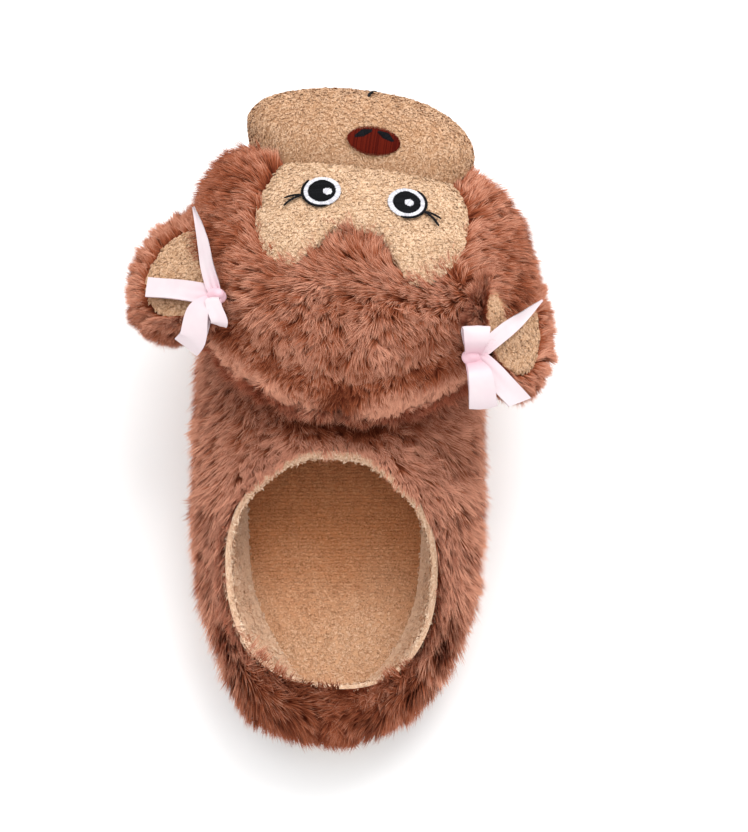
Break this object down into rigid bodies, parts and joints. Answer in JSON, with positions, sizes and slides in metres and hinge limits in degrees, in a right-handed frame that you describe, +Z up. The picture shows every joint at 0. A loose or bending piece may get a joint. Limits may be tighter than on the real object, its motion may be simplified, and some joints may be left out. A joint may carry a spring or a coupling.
{
  "type": "animal slipper",
  "caption": "Plush house slipper for a left foot: open collar over a terry footbed, and a stuffed monkey's head with drooping ears and ribbon bows on the toe.",
  "frame": {"origin": "on the floor, under the middle of the outsole", "axes": "+Y from heel to toe, +Z up, +X to the wearer's right"},
  "size_m": [0.1741, 0.2772, 0.114],
  "materials": {
    "brown_plush": "matte deep pile",
    "beige_terry": "matte looped pile",
    "satin_ribbon": "satin",
    "eye_thread": "satin stitch",
    "nose_thread": "satin stitch",
    "sole_cloth": "matte"
  },
  "bodies": {
    "root": {"outsole": "sole_cloth", "insole": "beige_terry", "upper": "brown_plush", "head": "brown_plush", "muzzle": "beige_terry", "face_patch": "beige_terry", "nose": "nose_thread", "eye_left": "eye_thread", "eye_right": "eye_thread", "ear_left": "brown_plush", "ear_right": "brown_plush", "ear_inner_left": "beige_terry", "ear_inner_right": "beige_terry", "bow_left": "satin_ribbon", "bow_right": "satin_ribbon"}
  },
  "joints": []
}
